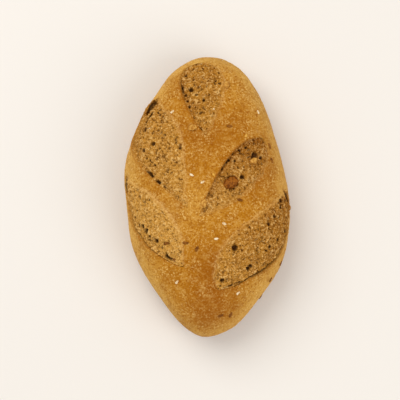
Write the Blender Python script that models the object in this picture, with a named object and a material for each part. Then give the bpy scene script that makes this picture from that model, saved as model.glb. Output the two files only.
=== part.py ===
"""Muesli bread: one oval hearth loaf with five slashed openings, seeds and a raisin.

Metres, +Z up. The origin is under the middle of the loaf, on the face it rests on.
+Y runs along the loaf, towards the end with the round slash.
"""
import math
import random
from collections import namedtuple

import bmesh
import bpy
import numpy as np
from mathutils import Matrix, Vector, noise

MM = 0.001

# The whole loaf
LOAF_WIDTH = 0.130
LOAF_LENGTH = 0.220
LOAF_HEIGHT = 0.068
RIM_HEIGHT = 0.027          # height of the widest line above the table
UNDER_DEPTH = 0.040         # how far the underside would reach below it, uncut
SHOULDER = 0.035            # how much fuller than an ellipsoid the upper side is
HEEL = 0.035                # and the lower side
BASE_OVERLAP = 0.0005       # the flattened underside lies this far below the cut
BASE_ROUND = 0.004          # softness of the turn from the side to the base
TABLE_DEPTH = 0.1           # of the block that cuts the base flat

# Where the outline leaves its ellipse: compass angle from +X and spread in degrees, share of the radius
Bulge = namedtuple("Bulge", "angle spread amount")
BULGES = (
    Bulge(-17, 20, 0.022),
    Bulge(27, 30, -0.092),
    Bulge(-52, 16, -0.050),
    Bulge(-78, 16, -0.006),
    Bulge(-94, 10, 0.014),
    Bulge(-129, 21, -0.073),
    Bulge(-150, 15, -0.012),
    Bulge(-172, 12, -0.026),
    Bulge(168, 10, 0.017),
    Bulge(152, 14, -0.012),
    Bulge(131, 12, -0.038),
    Bulge(112, 14, -0.016),
)
BASE_STILL = 0.002          # lumps and openings fade out between these heights above the base
BASE_FREE = 0.010

SKIN_SUBDIVISIONS = 8       # of the sphere that the skin is shaped from
SKIN_FACES = 7600           # facets kept of it

# Slow lumps of the dough
LUMP_HEIGHT = 0.0008
LUMP_LENGTH = 0.034

# The five openings. Each runs from start through middle to end, in mm near the skin. Its sharp edge
# is on the right of that way and its soft edge on the left. An edge's width from the middle line is
# in mm, its widest place is a share of the way, and a smaller blunt gives rounder ends. The floor
# lies depth below the crust along the sharp edge, and its middle rises by swell, both in mm.
Edge = namedtuple("Edge", "width widest blunt")
Slash = namedtuple("Slash", "start middle end sharp soft depth swell")
SLASHES = (
    Slash((-6, 105, 44), (-5, 77, 58.6), (-2, 42, 66),
          Edge(16.5, 0.34, 0.75), Edge(19.0, 0.38, 0.78), 2.4, 0.8),
    Slash((-40, 76, 44), (-40, 38, 57), (-16, -14, 67),
          Edge(26.5, 0.30, 1.0), Edge(20.5, 0.53, 0.85), 3.0, 1.5),
    Slash((-64.5, 14, 37), (-45, -20, 59), (-19, -60, 62),
          Edge(20.5, 0.48, 0.62), Edge(13.5, 0.58, 0.9), 3.0, 1.4),
    Slash((43, 41, 54), (24.5, 13, 66), (-6, -20, 67),
          Edge(14.2, 0.44, 0.7), Edge(15.0, 0.42, 0.7), 2.4, 0.2),
    Slash((7, -76, 59), (36, -42, 60), (62, 3, 39),
          Edge(24.0, 0.57, 0.58), Edge(18.0, 0.43, 0.7), 2.0, 1.5),
)
# Upright slots between the crumb and the crust's lip, which stands up on the right of the way from start
# to end: both seen from above, width to each side and depth, in mm
Slot = namedtuple("Slot", "start end width depth")
SLOTS = (
    Slot((-39.4, 71.8), (-46.0, 61.4), 2.0, 5.0),
    Slot((-62.6, 13.5), (-62.2, 1.5), 1.5, 5.0),
)
SLOT_LIP = 0.5              # height of that lip, as a share of the slot's depth
SLOT_LIP_OUT = 1.3          # how far out it stands, in slot widths
SLOT_LIP_WIDTH = 0.65
SLOT_FADE = 0.004           # slots fade out over this height above the widest line
MOUTH_LIMIT = 0.02          # an opening narrower than this share of its full width leaves the crust whole
CENTRE_STEPS = 96
HEIGHT_STEPS = 6            # guesses at the height of the skin over a place
PLACE_BLOCK = 4096          # skin points placed in an opening at a time
WALL_WIDTH = 0.0028         # the sharp edge falls to the floor over this width
LIP_HEIGHT = 0.0006         # the crust curls up along the sharp edge
LIP_SPREAD = 0.003
FLOOR_FALL = 2.0            # how the floor climbs from the sharp edge to the soft one
CRUMB_HEIGHT = 0.0009       # relief of the open crumb
CRUMB_LENGTH = 0.0065

# The raisin that shows in the fourth opening
RAISIN_PLACE = (17.6, 5.2, 66.8)
RAISIN_SIZE = (0.0136, 0.0088, 0.0070)
RAISIN_TURN = 30.0          # degrees of its long side from +X
RAISIN_SINK = 0.0012        # its middle lies this far below the floor of the opening
RAISIN_WRINKLE = 0.00045
RAISIN_FOLD = 0.55          # length of its wrinkles, as a share of its half length
RAISIN_GRAIN = (1.0, 1.0, 0.4)
RAISIN_SUBDIVISIONS = 3
SOCKET_GAP = 0.0004

# Seeds, golden flakes and nut bits: length, width and thickness
Grain = namedtuple("Grain", "size taper")
GRAINS = {
    "sesame": Grain((0.0034, 0.0021, 0.0011), 0.35),
    "flax": Grain((0.0048, 0.0025, 0.0013), 0.25),
    "flake": Grain((0.0034, 0.0021, 0.0011), 0.35),
    "nut": Grain((0.0062, 0.0048, 0.0030), 0.05),
}
GRAIN_SEGMENTS = 7
GRAIN_RINGS = 4
GRAIN_RISE = 0.15           # share of the thickness by which a grain's middle stands off the crust

# Grains that show on the upper side: kind, place in mm seen from above, turn in degrees
SHOWN_GRAINS = (
    ("nut", 14.4, 82.7, 70), ("nut", 35.4, 22.6, 20), ("nut", -3.2, -11.0, 60), ("nut", -11.9, 47.5, 15),
    ("sesame", -27.5, 61.2, 30), ("sesame", 39.1, 62.4, -70), ("sesame", 4.2, 62.5, 80),
    ("sesame", -43.8, 48.4, 10), ("sesame", -12.4, 10.9, -30), ("sesame", -4.2, 5.3, 30),
    ("sesame", 12.2, -26.0, -20), ("sesame", 6.2, -37.2, 10), ("sesame", 22.9, -78.0, 40),
    ("flake", 29.1, 42.3, 60), ("flake", 4.2, 10.8, -50), ("sesame", -24.0, -70.4, 50),
    ("flax", -16.9, -40.6, 0), ("flax", -8.5, -44.7, 60), ("flax", 24.1, -7.9, -10),
    ("flax", 9.5, -94.4, 20), ("flax", 17.1, -93.8, 70), ("flax", 16.4, 48.9, 0),
    ("flax", 47.8, 35.8, -65), ("flax", 49.5, 24.1, -60), ("flax", -31.5, -40.9, 15),
    ("flax", -24.9, -53.7, -30), ("flax", 56.1, -53.5, 62), ("flax", 48.3, -66.6, 66),
)
FLANK_GRAINS = 26           # and this many more, spread over the sides
FLANK_SEED = 11
FLANK_CLEAR = 0.011
FLANK_BAND = (-0.55, 0.0)   # how steeply down and up from the loaf's heart they lie

LOAF_SHARP = 50             # facets that meet at more degrees than this show an edge
RAISIN_SHARP = 80

FINISHES = {
    # name: colour as seen in daylight (0 to 255), roughness
    "crust": ((186, 130, 52), 0.62),
    "raisin_skin": ((128, 74, 30), 0.45),
}

HALF = np.array([LOAF_WIDTH / 2, LOAF_LENGTH / 2])
CROWN_RISE = LOAF_HEIGHT - RIM_HEIGHT


def clear_scene():
    for thing in list(bpy.data.objects):
        bpy.data.objects.remove(thing, do_unlink=True)


def new_collection(name):
    collection = bpy.data.collections.new(name)
    bpy.context.scene.collection.children.link(collection)
    return collection


def finish_material(name):
    colour, roughness = FINISHES[name]
    linear = [((c / 255 + 0.055) / 1.055) ** 2.4 for c in colour]
    material = bpy.data.materials.new(name)
    material.use_nodes = True
    shader = material.node_tree.nodes["Principled BSDF"]
    shader.inputs["Base Color"].default_value = (*linear, 1.0)
    shader.inputs["Roughness"].default_value = roughness
    shader.inputs["Metallic"].default_value = 0.0
    return material


def unit(v):
    return v / np.linalg.norm(v, axis=-1, keepdims=True)


def outline_reach(nx, ny):
    """How far the outline stands out of its ellipse, at each direction."""
    angle = np.degrees(np.arctan2(ny, nx))
    reach = np.ones_like(angle)
    for bulge in BULGES:
        off = (angle - bulge.angle + 180) % 360 - 180
        reach += bulge.amount * np.exp(-(off / bulge.spread) ** 2)
    return reach


def depth_along(nz):
    return np.where(nz > 0, CROWN_RISE, UNDER_DEPTH)


def rounded_floor(z):
    """Heights that never fall below the base, with a soft turn into it."""
    above = z + BASE_OVERLAP
    turn = (above + BASE_ROUND) ** 2 / (4 * BASE_ROUND)
    return np.where(above > BASE_ROUND, above, np.where(above < -BASE_ROUND, 0.0, turn)) - BASE_OVERLAP


def risen_dough(n):
    """Points of the loaf before it was slashed, one for each unit direction."""
    nx, ny, nz = n[..., 0], n[..., 1], n[..., 2]
    spread = nx ** 2 + ny ** 2
    reach = 1 + (outline_reach(nx, ny) - 1) * spread
    swell = 1 + np.where(nz > 0, SHOULDER, HEEL) * 4 * spread * nz ** 2
    x = HALF[0] * nx * reach * swell
    y = HALF[1] * ny * reach * swell
    z = RIM_HEIGHT + depth_along(nz) * nz * swell
    return np.stack([x, y, rounded_floor(z)], axis=-1)


def outward(n):
    """Unit normals of the loaf's ellipsoid."""
    nx, ny, nz = n[..., 0], n[..., 1], n[..., 2]
    return unit(np.stack([nx / HALF[0], ny / HALF[1], nz / depth_along(nz)], axis=-1))


def direction_to(place_mm):
    """The unit direction that leads from the loaf's heart to a place given in mm."""
    place = np.asarray(place_mm, dtype=float) * MM
    x = place[..., 0] / HALF[0]
    y = place[..., 1] / HALF[1]
    z = (place[..., 2] - RIM_HEIGHT) / depth_along(place[..., 2] - RIM_HEIGHT)
    return unit(np.stack([x, y, z], axis=-1))


def slash_centre(slash):
    """Points, ways and side directions along the middle of a slash."""
    t = np.linspace(0, 1, CENTRE_STEPS + 1)[:, None]
    ends = [direction_to(p) for p in (slash.start, slash.middle, slash.end)]
    n = unit((1 - t) * (1 - 2 * t) * ends[0] + 4 * t * (1 - t) * ends[1] + t * (2 * t - 1) * ends[2])
    points = risen_dough(n)
    ways = unit(np.gradient(points, axis=0))
    sides = unit(np.cross(outward(n), ways))
    return points, ways, sides


def slash_place(slash, skin):
    """Where each skin point lies in a slash: along it (0 to 1), metres to the soft side and metres away."""
    points, ways, sides = slash_centre(slash)
    nearest = np.empty(len(skin), dtype=int)
    for first in range(0, len(skin), PLACE_BLOCK):
        block = skin[first:first + PLACE_BLOCK]
        gaps = ((block[:, None, :] - points[None, :, :]) ** 2).sum(axis=-1)
        nearest[first:first + PLACE_BLOCK] = gaps.argmin(axis=1)
    away = skin - points[nearest]
    step = np.linalg.norm(np.diff(points, axis=0), axis=1).mean()
    along = (nearest + (away * ways[nearest]).sum(axis=1) / step) / CENTRE_STEPS
    side = (away * sides[nearest]).sum(axis=1)
    far = np.linalg.norm(away, axis=1)
    return np.clip(along, 0, 1), side, far


def smooth_step(x):
    x = np.clip(x, 0, 1)
    return x * x * (3 - 2 * x)


def edge_reach(edge, along):
    """Metres from a slash's middle line to one of its edges, at each share of its length."""
    lean = math.log(0.5) / math.log(edge.widest)
    return edge.width * MM * np.sin(np.pi * along ** lean).clip(0, 1) ** edge.blunt


def slot_drop(points):
    """Metres by which the upright slots lower each point, less the height of their lips."""
    drop = np.zeros(len(points))
    high = smooth_step((points[:, 2] - RIM_HEIGHT) / SLOT_FADE)
    for slot in SLOTS:
        width = slot.width * MM
        start = np.array(slot.start) * MM
        run = np.array(slot.end) * MM - start
        out = np.array([run[1], -run[0]]) / np.linalg.norm(run)
        share = np.clip((points[:, :2] - start) @ run / (run @ run), 0, 1)
        off = points[:, :2] - start - share[:, None] * run
        gap = np.linalg.norm(off, axis=1) / width
        lip_gap = np.linalg.norm(off - out * SLOT_LIP_OUT * width, axis=1) / (SLOT_LIP_WIDTH * width)
        drop += high * slot.depth * MM * (np.exp(-gap ** 2) - SLOT_LIP * np.exp(-lip_gap ** 2))
    return drop


def slash_shape(slash, skin):
    """Height change of the skin from one slash, and how open it is there (0 to 1)."""
    along, side, far = slash_place(slash, skin)
    sharp = edge_reach(slash.sharp, along)
    soft = edge_reach(slash.soft, along)
    full = (slash.sharp.width + slash.soft.width) * MM
    mouth = (sharp + soft) / full
    near = (far < full) & (mouth > MOUTH_LIMIT)
    inset = side + sharp
    across = np.clip(inset / np.where(near, sharp + soft, 1.0), 0, 1)
    inside = near & (inset > 0) & (side < soft)
    wall = smooth_step(inset / WALL_WIDTH)
    fall = slash.depth * (1 - across) ** FLOOR_FALL - slash.swell * np.sin(np.pi * across)
    sink = wall * fall * MM * np.sqrt(mouth)
    sink = np.where(inside, sink, 0.0)
    lip = LIP_HEIGHT * mouth * np.exp(-np.abs(inset) / LIP_SPREAD) * (1 - wall)
    lip = np.where(near, lip, 0.0)
    opened = np.where(inside, wall * smooth_step((soft - side) / WALL_WIDTH), 0.0)
    return lip - sink, opened


def wavy(points, length, seed):
    """Smooth noise between -1 and 1 at each point."""
    offset = Vector((seed * 7.3, seed * 3.1, seed * 1.7))
    return np.array([noise.noise(Vector(p) / length + offset) for p in points])


def baked_skin(n):
    """Points of the finished loaf's skin, one for each unit direction."""
    skin = risen_dough(n)
    change = np.zeros(len(n))
    opened = np.zeros(len(n))
    for slash in SLASHES:
        height, share = slash_shape(slash, skin)
        change += height
        opened = np.maximum(opened, share)
    change += LUMP_HEIGHT * wavy(skin, LUMP_LENGTH, 1)
    change += CRUMB_HEIGHT * opened * wavy(skin, CRUMB_LENGTH, 2)
    change *= np.clip((skin[:, 2] - BASE_STILL) / (BASE_FREE - BASE_STILL), 0, 1)
    points = skin + outward(n) * change[:, None]
    points[:, 2] -= slot_drop(skin)
    return points


def skin_frame(place_mm):
    """Point of the skin under a place in mm, and the outward direction there."""
    n = direction_to(np.array([place_mm]))
    return Vector(baked_skin(n)[0]), Vector(outward(n)[0])


def height_over(x_mm, y_mm):
    """Height in mm of the unslashed upper side over a place seen from above."""
    n = np.array([x_mm * MM / HALF[0], y_mm * MM / HALF[1]])
    for _ in range(HEIGHT_STEPS):
        nz = math.sqrt(max(1 - n @ n, 0.0))
        point = risen_dough(np.array([[n[0], n[1], nz]]))[0]
        n = n + (np.array([x_mm, y_mm]) * MM - point[:2]) / HALF
    return risen_dough(np.array([[n[0], n[1], math.sqrt(max(1 - n @ n, 0.0))]]))[0][2] / MM


def linked_object(name, mesh, collection):
    thing = bpy.data.objects.new(name, mesh)
    collection.objects.link(thing)
    return thing


def sphere_mesh(name, subdivisions):
    mesh = bpy.data.meshes.new(name)
    bm = bmesh.new()
    bmesh.ops.create_icosphere(bm, subdivisions=subdivisions, radius=1.0)
    bm.to_mesh(mesh)
    bm.free()
    return mesh


def mesh_points(mesh):
    points = np.empty(len(mesh.vertices) * 3)
    mesh.vertices.foreach_get("co", points)
    return points.reshape(-1, 3)


def move_points(mesh, points):
    mesh.vertices.foreach_set("co", points.astype(np.float32).ravel())
    mesh.update()


def add_boolean(thing, operation, solver="EXACT", cutter=None, collection=None):
    modifier = thing.modifiers.new(operation.lower(), "BOOLEAN")
    modifier.operation = operation
    modifier.solver = solver
    if cutter is not None:
        modifier.object = cutter
    else:
        modifier.operand_type = "COLLECTION"
        modifier.collection = collection


def apply_modifiers(thing):
    """Replace an object's mesh by its evaluated one."""
    bpy.context.view_layer.update()
    evaluated = thing.evaluated_get(bpy.context.evaluated_depsgraph_get())
    mesh = bpy.data.meshes.new_from_object(evaluated)
    thing.modifiers.clear()
    thing.data = mesh


def make_guide(thing):
    thing.hide_render = True
    thing.display_type = "WIRE"


def build_dough(parts):
    """The slashed loaf as one closed skin."""
    mesh = sphere_mesh("loaf", SKIN_SUBDIVISIONS)
    move_points(mesh, baked_skin(unit(mesh_points(mesh))))
    loaf = linked_object("loaf", mesh, parts)
    decimate = loaf.modifiers.new("facets", "DECIMATE")
    decimate.ratio = SKIN_FACES / len(mesh.polygons)
    apply_modifiers(loaf)
    return loaf


def build_table_cutter(cutters):
    """A block whose top is the face that the loaf rests on."""
    bpy.ops.mesh.primitive_cube_add(size=1, location=(0, 0, -TABLE_DEPTH / 2))
    block = bpy.context.active_object
    block.name = "table_cutter"
    block.scale = (2 * LOAF_WIDTH, 2 * LOAF_LENGTH, TABLE_DEPTH)
    for collection in list(block.users_collection):
        collection.objects.unlink(block)
    cutters.objects.link(block)
    make_guide(block)
    return block


def raisin_pose():
    place, up = skin_frame(RAISIN_PLACE)
    centre = place - up * RAISIN_SINK
    turn = Matrix.Rotation(math.radians(RAISIN_TURN), 4, "Z")
    tilt = Vector((0, 0, 1)).rotation_difference(up).to_matrix().to_4x4()
    return Matrix.Translation(centre) @ tilt @ turn


def raisin_points(directions, grow, wrinkle):
    half = np.array(RAISIN_SIZE) / 2 + grow
    folds = np.abs(wavy(directions * RAISIN_GRAIN, RAISIN_FOLD, 5))
    return directions * (half - wrinkle * folds[:, None])


def build_raisin(name, grow, wrinkle, collection):
    mesh = sphere_mesh(name, RAISIN_SUBDIVISIONS)
    pose = raisin_pose()
    move_points(mesh, raisin_points(unit(mesh_points(mesh)), grow, wrinkle))
    mesh.transform(pose)
    return linked_object(name, mesh, collection)


def grain_mesh(name, kind):
    """A seed lying flat, its narrow end towards +X."""
    grain = GRAINS[kind]
    mesh = bpy.data.meshes.new(name)
    bm = bmesh.new()
    bmesh.ops.create_uvsphere(bm, u_segments=GRAIN_SEGMENTS, v_segments=GRAIN_RINGS, radius=0.5)
    bmesh.ops.rotate(bm, verts=bm.verts, matrix=Matrix.Rotation(math.pi / 2, 3, "Y"))
    for vert in bm.verts:
        narrow = 1 - grain.taper * (vert.co.x + 0.5)
        vert.co = Vector((vert.co.x, vert.co.y * narrow, vert.co.z * narrow))
        vert.co = Vector([c * s for c, s in zip(vert.co, grain.size)])
    bm.to_mesh(mesh)
    bm.free()
    return mesh


def place_grain(index, kind, place_mm, turn, collection):
    place, up = skin_frame(place_mm)
    thing = linked_object(f"grain_{index}", grain_mesh(f"grain_{index}", kind), collection)
    tilt = Vector((0, 0, 1)).rotation_difference(up).to_matrix().to_4x4()
    lift = up * GRAINS[kind].size[2] * GRAIN_RISE
    spin = Matrix.Rotation(math.radians(turn), 4, "Z")
    thing.matrix_world = Matrix.Translation(place + lift) @ tilt @ spin
    make_guide(thing)
    return thing


def flank_places():
    """Grains spread over the sides and ends, clear of each other."""
    draw = random.Random(FLANK_SEED)
    chosen = []
    while len(chosen) < FLANK_GRAINS:
        angle = draw.uniform(0, 2 * math.pi)
        rise = draw.uniform(*FLANK_BAND)
        level = math.sqrt(1 - rise * rise)
        n = np.array([[level * math.cos(angle), level * math.sin(angle), rise]])
        place = risen_dough(n)[0] / MM
        kind = draw.choice(("sesame", "sesame", "flax"))
        turn = draw.uniform(0, 180)
        if all(np.linalg.norm(place - other[1]) * MM > FLANK_CLEAR for other in chosen):
            chosen.append((kind, place, turn))
    return chosen


def build_grains(collection):
    shown = [(kind, (x, y, height_over(x, y)), turn) for kind, x, y, turn in SHOWN_GRAINS]
    clear = []
    for kind, place, turn in flank_places():
        gaps = [np.linalg.norm(np.array(place) - np.array(other[1])) * MM for other in shown]
        if min(gaps) > FLANK_CLEAR:
            clear.append((kind, tuple(place), turn))
    for index, (kind, place, turn) in enumerate(shown + clear):
        place_grain(index, kind, place, turn, collection)


def shade(thing, material, angle):
    thing.data.materials.clear()
    thing.data.materials.append(material)
    thing.data.shade_smooth()
    thing.data.set_sharp_from_angle(angle=math.radians(angle))


def build():
    clear_scene()
    parts = new_collection("muesli_bread")
    cutters = new_collection("cutters")
    grains = new_collection("grains")

    loaf = build_dough(parts)
    table = build_table_cutter(cutters)
    socket = build_raisin("raisin_socket", SOCKET_GAP, 0.0, cutters)
    make_guide(socket)
    add_boolean(loaf, "DIFFERENCE", cutter=table)
    add_boolean(loaf, "DIFFERENCE", cutter=socket)
    apply_modifiers(loaf)

    build_grains(grains)
    add_boolean(loaf, "UNION", solver="MANIFOLD", collection=grains)
    apply_modifiers(loaf)
    for thing in list(grains.objects):
        bpy.data.objects.remove(thing, do_unlink=True)
    bpy.data.collections.remove(grains)

    raisin = build_raisin("raisin", 0.0, RAISIN_WRINKLE, parts)
    shade(loaf, finish_material("crust"), LOAF_SHARP)
    shade(raisin, finish_material("raisin_skin"), RAISIN_SHARP)


build()
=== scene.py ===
import math
import random
from collections import namedtuple

import bmesh
import bpy
import numpy as np
from mathutils import Matrix, Vector, noise


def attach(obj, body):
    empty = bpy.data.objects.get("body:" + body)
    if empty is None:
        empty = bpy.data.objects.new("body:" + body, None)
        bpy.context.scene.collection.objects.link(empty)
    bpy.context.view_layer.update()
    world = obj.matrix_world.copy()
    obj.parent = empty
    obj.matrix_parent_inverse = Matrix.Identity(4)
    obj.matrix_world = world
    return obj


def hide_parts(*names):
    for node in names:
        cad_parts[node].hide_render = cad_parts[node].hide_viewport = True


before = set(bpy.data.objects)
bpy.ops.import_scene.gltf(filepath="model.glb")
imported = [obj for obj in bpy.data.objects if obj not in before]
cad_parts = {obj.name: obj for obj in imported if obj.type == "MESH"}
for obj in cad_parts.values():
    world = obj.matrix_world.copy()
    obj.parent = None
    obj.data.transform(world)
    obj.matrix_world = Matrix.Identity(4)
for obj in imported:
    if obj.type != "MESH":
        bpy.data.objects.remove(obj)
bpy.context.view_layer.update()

MM = 0.001
STIR_SEED = 3                    # noise vectors would otherwise start anew at each run

# The form of the loaf, as the solids have it
LOAF_WIDTH = 0.130
LOAF_LENGTH = 0.220
LOAF_HEIGHT = 0.068
RIM_HEIGHT = 0.027
UNDER_DEPTH = 0.040
SHOULDER = 0.035
HEEL = 0.035
BASE_OVERLAP = 0.0005
BASE_ROUND = 0.004
BASE_STILL = 0.002               # lumps and openings fade out between these heights above the base
BASE_FREE = 0.010

Bulge = namedtuple("Bulge", "angle spread amount")
BULGES = (
    Bulge(-17, 20, 0.022),
    Bulge(27, 30, -0.092),
    Bulge(-52, 16, -0.050),
    Bulge(-78, 16, -0.006),
    Bulge(-94, 10, 0.014),
    Bulge(-129, 21, -0.073),
    Bulge(-150, 15, -0.012),
    Bulge(-172, 12, -0.026),
    Bulge(168, 10, 0.017),
    Bulge(152, 14, -0.012),
    Bulge(131, 12, -0.038),
    Bulge(112, 14, -0.016),
)
LUMP_HEIGHT = 0.0008
LUMP_LENGTH = 0.034

# Each noise has a number, and starts this far along for every 1 of it
WAVE_STEP = (7.3, 3.1, 1.7)
STIR_STEP = (3.7, 9.1, 5.3)
PORE_STEP = (5.1, 2.3, 4.7)
LUMP_NOISE = 1
FOLD_NOISE = 5
FRAY_NOISE = 11
WRINKLE_NOISE = 12
CRACK_NOISE = 13
STRAY_NOISE = 16
# Which places have a pore, and its size, are drawn from cells this much finer
PORE_DRAW = 17.0
SIZE_DRAW = 29.0
SIZE_START = (3, 1, 2)
PORE_WALL = 2                    # how steep a pore's wall is

# Each opening's sharp edge lies on the right of the way from start to end, its soft edge on the left.
# The crumb falls away from the sharp edge over the wall. Tone and pale say how dark or light the crumb
# is at the start and at the end, partly its own colour and partly painted shade and painted light by how
# each opening's slopes face the light; shade says how much painted shade darkens the crumb beside the
# sharp edge, under the crust's wall, and pits how holed.
# From flush onwards the crust's lip lies level with the crumb, and ridge is how pale the soft edge is.
Edge = namedtuple("Edge", "width widest blunt")
Slash = namedtuple("Slash", "name start middle end sharp soft depth swell wall "
                            "tone pale shade pits flush ridge")
SLASHES = (
    Slash("top", (-6, 105, 44), (-5, 77, 58.6), (-2, 42, 66),
          Edge(16.5, 0.34, 0.75), Edge(19.0, 0.38, 0.78),
          2.4, 0.8, 2.0, (0.4, 0.5), (0.0, 0.2), 0.4, 1.0, 1.1, 0.5),
    Slash("upper_left", (-40, 76, 44), (-40, 38, 57), (-16, -14, 67),
          Edge(26.5, 0.30, 1.0), Edge(20.5, 0.53, 0.85),
          3.0, 1.5, 2.4, (0.4, 0.2), (0.1, 0.4), 0.2, 0.7, 1.1, 0.7),
    Slash("lower_left", (-64.5, 14, 37), (-45, -20, 59), (-19, -60, 62),
          Edge(20.5, 0.48, 0.62), Edge(13.5, 0.58, 0.9),
          3.0, 1.4, 4.0, (0.2, 0.1), (0.4, 0.6), 0.2, 0.4, 1.1, 0.9),
    Slash("upper_right", (43, 41, 54), (24.5, 13, 66), (-6, -20, 67),
          Edge(14.2, 0.44, 0.70), Edge(15.0, 0.42, 0.7),
          2.4, 0.2, 2.0, (1.15, 0.4), (0.0, 0.5), 0.7, 0.8, 1.1, 0.3),
    Slash("lower_right", (7, -76, 59), (36, -42, 60), (62, 3, 39),
          Edge(24.0, 0.57, 0.58), Edge(18.0, 0.43, 0.7),
          2.0, 1.5, 6.0, (0.2, 0.9), (0.3, 0.0), 0.0, 0.8, 0.42, 0.5),
)
# The painted shade beside a sharp edge fades over this many metres
SHADE_REACH = 0.005
# Where the dough tore open beside the sharp edges: slash, from and to along it, then how far in, how
# wide to each side and how deep, in mm
Crack = namedtuple("Crack", "slash low high inset width depth")
CRACKS = (
    Crack("top", 0.18, 0.50, 1.2, 0.7, 0.9),
    Crack("upper_left", 0.66, 0.86, 1.5, 1.2, 1.5),
    Crack("lower_left", 0.14, 0.40, 1.8, 0.8, 1.3),
    Crack("lower_left", 0.58, 0.80, 5.0, 0.8, 0.8),
    Crack("lower_left", 0.83, 0.93, 2.8, 1.1, 1.9),
    Crack("upper_right", 0.44, 0.58, 0.9, 0.7, 0.8),
    Crack("lower_right", 0.01, 0.20, 1.3, 0.9, 1.6),
    Crack("lower_right", 0.19, 0.36, 0.9, 0.6, 1.1),
    Crack("lower_right", 0.37, 0.50, 0.9, 0.6, 0.7),
)
CRACK_STRAY = 0.0010             # how far a crack wanders to each side
CRACK_STRAY_LENGTH = 0.0055      # and over what length
CRACK_END = 0.05                 # it fades out over this share of the slash
CRACK_SHARE = 0.7                # of its depth that it has without noise
CRACK_CHANGE = 2.2               # how much noise adds to that share or takes away
CRACK_CHANGE_LENGTH = 0.0042
CRACK_MOST = 1.2
CRACK_SHADE_DEPTH = 1.3                 # its painted shade is darkest from this depth in mm
# Upright slots between the crumb and the crust's lip, which stands up on the right of the way from
# start to end: both seen from above, width to each side and depth, in mm
Slot = namedtuple("Slot", "start end width depth")
SLOTS = (
    Slot((-39.4, 71.8), (-46.0, 61.4), 2.0, 5.0),
    Slot((-62.6, 13.5), (-62.2, 1.5), 1.5, 5.0),
    Slot((-41.0, 61.0), (-45.0, 57.2), 0.7, 2.0),
    Slot((60.4, -6.5), (58.4, 1.5), 0.6, 1.8),
)
SLOT_LIP = 0.5                   # height of that lip, as a share of the slot's depth
SLOT_LIP_OUT = 1.3               # how far out it stands, in slot widths
SLOT_LIP_WIDTH = 0.65
SLOT_FADE = 0.004                # slots fade out over this height above the widest line
SLOT_ENDS = 0.35                 # width of their painted shade at its ends, as a share of that in the middle
SLOT_SHADE_EDGE = (1.3, 0.7)           # the painted shade ends this far out and fades over this, in slot widths
SLOT_SHADE = 0.8
MOUTH_LIMIT = 0.02               # an opening narrower than this share of its width leaves the crust whole
CENTRE_STEPS = 96
HEIGHT_STEPS = 6                 # guesses at the height of the skin over a place
HOLE_STEPS = 40                  # and over a hole, which may lie on a steep side
PLACE_BLOCK = 4096               # skin points placed in an opening at a time
WALL_WIDTH = 0.0015
LIP_HEIGHT = 0.0006
LIP_SPREAD = 0.003
FLOOR_FALL = 2.0
LEVEL_TURN = 0.1                 # the lip comes down to the crumb over this share of the slash

# Deep holes that show in the crumb, sunk and darkened with painted shade: place in mm seen from above,
# radius in mm
HOLES = (
    (-17.6, 91.6, 1.1), (-3.9, 96.2, 0.9), (-20.4, 81.7, 1.3), (-13.1, 78.9, 1.9), (-8.7, 73.7, 1.0),
    (-3.2, 69.3, 1.1), (-17.5, 74.5, 1.2), (-16.0, 69.5, 1.0), (-14.2, 64.4, 1.0), (8.8, 83.3, 1.1),
    (8.4, 92.4, 0.9), (5.9, 85.6, 1.0),
    (-37.8, 60.5, 0.9), (-36.6, 58.5, 1.0),
    (-47.9, 48.3, 1.5), (-41.6, 35.9, 1.6), (-49.4, 31.7, 1.3), (-52.2, 33.5, 0.8), (-21.0, 34.2, 1.1),
    (-21.1, 33.0, 1.1), (-21.1, 31.9, 1.0), (-46.9, 25.3, 0.9), (-44.2, 23.5, 0.9),
    (-53.6, 55.6, 1.3), (-40.3, 19.2, 0.9),
    (35.4, 26.8, 2.6), (39.6, 24.8, 1.2), (26.0, 9.6, 1.7), (14.0, 21.0, 1.1), (29.1, 32.5, 1.1),
    (42.7, 13.5, 0.9), (20.3, 22.0, 1.0), (17.6, 5.2, 5.6), (24.2, 30.3, 1.2), (15.8, 22.6, 1.1),
    (10.5, 16.4, 1.0), (4.6, 7.4, 0.8), (-1.4, -4.2, 0.8),
    (19.9, -43.9, 2.2), (30.2, -59.0, 1.6), (32.2, -57.2, 1.5), (55.8, -6.8, 1.5), (54.9, -11.9, 1.3),
    (50.4, -19.6, 1.1), (60.2, -18.5, 1.1), (45.8, -25.6, 1.2), (60.2, -29.6, 1.2), (53.5, -36.6, 1.3),
    (46.4, -42.5, 1.3), (44.7, -45.5, 0.9), (22.8, -30.7, 0.9), (10.5, -68.2, 1.6),
    (-50.1, -26.6, 1.6), (-47.0, -30.2, 1.7), (-39.4, -38.2, 1.6), (-31.3, -49.5, 1.4),
    (-59.0, -12.4, 1.1), (-56.7, -19.0, 0.9), (-53.0, -26.0, 1.2), (-45.0, -34.5, 1.0),
)
HOLE_DEPTH = 1.3                 # of a hole, in its radius, but no more than this many mm
HOLE_LIMIT = 2.4
HOLE_BRIM = (1.2, 0.5)           # its wall starts this far out and is this wide, in its radius
HOLE_STRETCH = (1, 1, 0.6)       # holes reach further up and down than to the sides
HOLE_STIR = (0.0016, 0.0005, 14)  # length and reach of the noise that bends them, and which noise
BED_RADIUS = 4.0                 # a hole wider than this is the raisin's bed,
BED_SHADE = 0.5                  # which gets less painted shade

HALF = np.array([LOAF_WIDTH / 2, LOAF_LENGTH / 2])
CROWN_RISE = LOAF_HEIGHT - RIM_HEIGHT

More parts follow.
